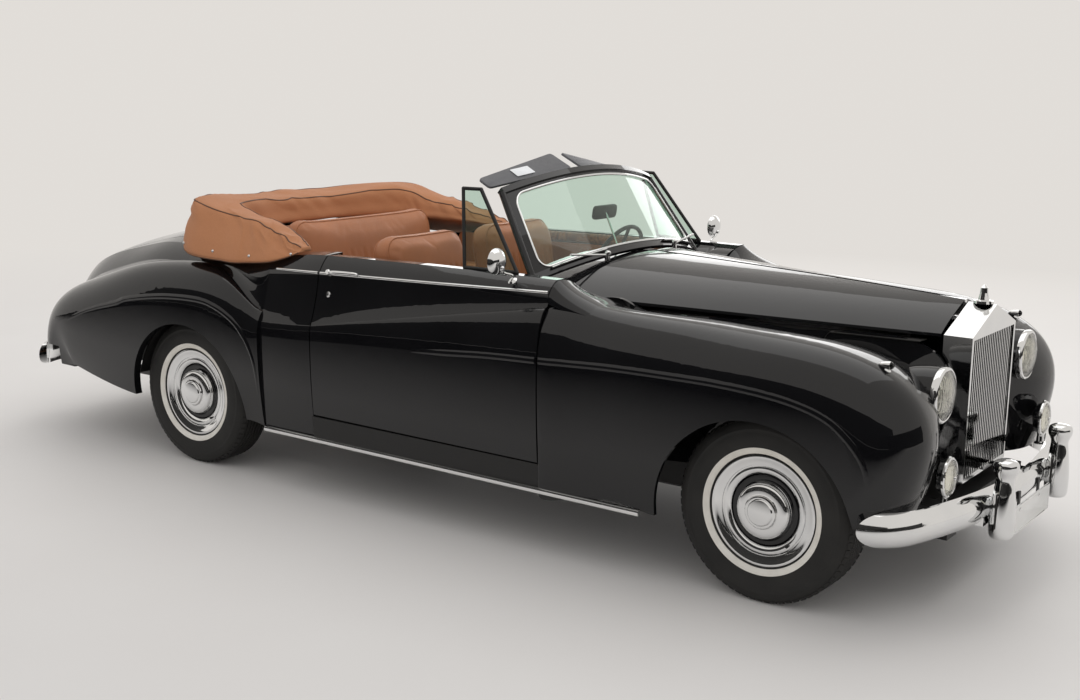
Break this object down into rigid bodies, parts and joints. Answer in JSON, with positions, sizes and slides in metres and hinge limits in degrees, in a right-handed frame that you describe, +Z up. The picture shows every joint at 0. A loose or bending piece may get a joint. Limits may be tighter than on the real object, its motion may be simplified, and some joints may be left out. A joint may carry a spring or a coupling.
{
  "type": "two-door convertible car",
  "caption": "Two-door four-seat convertible car of about 1960 with its hood folded: wheels roll and steer, and the doors, bonnet halves and boot lid open.",
  "frame": {"origin": "on the floor, under the middle of the overall length and width", "axes": "+X forward, +Y to the left side, +Z up"},
  "size_m": [5.342, 1.918, 1.589],
  "materials": {
    "body_paint": "gloss black coachwork",
    "frame_black": "satin chassis black",
    "engine_metal": "as cast",
    "chrome": "polished",
    "lamp_glass": "lens",
    "screen_glass": "pale green tint",
    "tyre_rubber": "whitewall",
    "tan_leather": "smooth",
    "tan_fabric": "woven",
    "trim_black": "gloss",
    "visor_vinyl": "matt"
  },
  "bodies": {
    "car_body": {"bonnet_strip": "chrome", "boot_floor": "frame_black", "chassis_frame": "frame_black", "dashboard": "trim_black", "engine_block": "engine_metal", "exhaust": "engine_metal", "floor_and_bulkhead": "frame_black", "front_bumper": "chrome", "front_lamps": "lamp_glass", "front_seats": "tan_leather", "front_suspension": "frame_black", "front_wing_left": "body_paint", "front_wing_right": "body_paint", "hood_cover": "tan_fabric", "jack_sockets": "frame_black", "radiator_shell": "chrome", "radiator_vanes": "chrome", "rear_axle": "frame_black", "rear_body": "body_paint", "rear_bumper": "chrome", "rear_seat": "tan_leather", "scuttle": "body_paint", "sun_visors": "visor_vinyl", "tail_lamps": "lamp_glass", "windscreen_frame": "chrome", "windscreen_glass": "screen_glass", "wipers": "chrome"},
    "door_left": {"door_left": "body_paint", "vent_frame_left": "trim_black", "vent_glass_left": "screen_glass", "door_mirror_left": "chrome"},
    "bonnet_left": {"bonnet_left": "body_paint"},
    "knuckle_left": {"knuckle_left": "frame_black"},
    "wheel_front_left": {"tyre_front_left": "tyre_rubber", "wheel_front_left": "chrome"},
    "wheel_rear_left": {"tyre_rear_left": "tyre_rubber", "wheel_rear_left": "chrome"},
    "door_right": {"door_right": "body_paint", "vent_frame_right": "trim_black", "vent_glass_right": "screen_glass", "door_mirror_right": "chrome"},
    "bonnet_right": {"bonnet_right": "body_paint"},
    "knuckle_right": {"knuckle_right": "frame_black"},
    "wheel_front_right": {"tyre_front_right": "tyre_rubber", "wheel_front_right": "chrome"},
    "wheel_rear_right": {"tyre_rear_right": "tyre_rubber", "wheel_rear_right": "chrome"},
    "boot_lid": {"boot_lid": "body_paint"},
    "steering_wheel": {"steering_wheel": "trim_black"}
  },
  "joints": [
    {"name": "steer_right", "type": "hinge", "parent": "car_body", "child": "knuckle_right", "pos_m": [1.872, -0.633, 0.36], "axis": [0, 0, 1], "range_deg": [-28, 28]},
    {"name": "steer_left", "type": "hinge", "parent": "car_body", "child": "knuckle_left", "pos_m": [1.872, 0.633, 0.36], "axis": [0, 0, 1], "range_deg": [-28, 28]},
    {"name": "steering_wheel_turn", "type": "hinge", "parent": "car_body", "child": "steering_wheel", "pos_m": [0.42, 0.38, 1.03], "axis": [-0.9272, 0, 0.3746], "range_deg": [-476, 476]},
    {"name": "roll_front_left", "type": "hinge", "parent": "knuckle_left", "child": "wheel_front_left", "pos_m": [1.872, 0.743, 0.36], "axis": [0, 1, 0], "continuous": true},
    {"name": "roll_rear_left", "type": "hinge", "parent": "car_body", "child": "wheel_rear_left", "pos_m": [-1.252, 0.762, 0.36], "axis": [0, 1, 0], "continuous": true},
    {"name": "door_hinge_left", "type": "hinge", "parent": "car_body", "child": "door_left", "pos_m": [0.9, 0.944, 0.75], "axis": [0, 0, -1], "range_deg": [0, 65]},
    {"name": "bonnet_hinge_left", "type": "hinge", "parent": "car_body", "child": "bonnet_left", "pos_m": [2.3, 0.013, 1.108], "axis": [0.9989, 0, -0.0462], "range_deg": [0, 55]},
    {"name": "roll_front_right", "type": "hinge", "parent": "knuckle_right", "child": "wheel_front_right", "pos_m": [1.872, -0.743, 0.36], "axis": [0, 1, 0], "continuous": true},
    {"name": "roll_rear_right", "type": "hinge", "parent": "car_body", "child": "wheel_rear_right", "pos_m": [-1.252, -0.762, 0.36], "axis": [0, 1, 0], "continuous": true},
    {"name": "door_hinge_right", "type": "hinge", "parent": "car_body", "child": "door_right", "pos_m": [0.9, -0.944, 0.75], "axis": [0, 0, 1], "range_deg": [0, 65]},
    {"name": "bonnet_hinge_right", "type": "hinge", "parent": "car_body", "child": "bonnet_right", "pos_m": [2.3, -0.013, 1.108], "axis": [-0.9989, 0, 0.0462], "range_deg": [0, 55]},
    {"name": "boot_hinge", "type": "hinge", "parent": "car_body", "child": "boot_lid", "pos_m": [-1.56, 0, 1.15], "axis": [0, 1, 0], "range_deg": [0, 60]}
  ],
  "couplings": [
    {"joint": "steer_left", "follows": "steer_right", "ratio": 1},
    {"joint": "steering_wheel_turn", "follows": "steer_right", "ratio": 17}
  ]
}
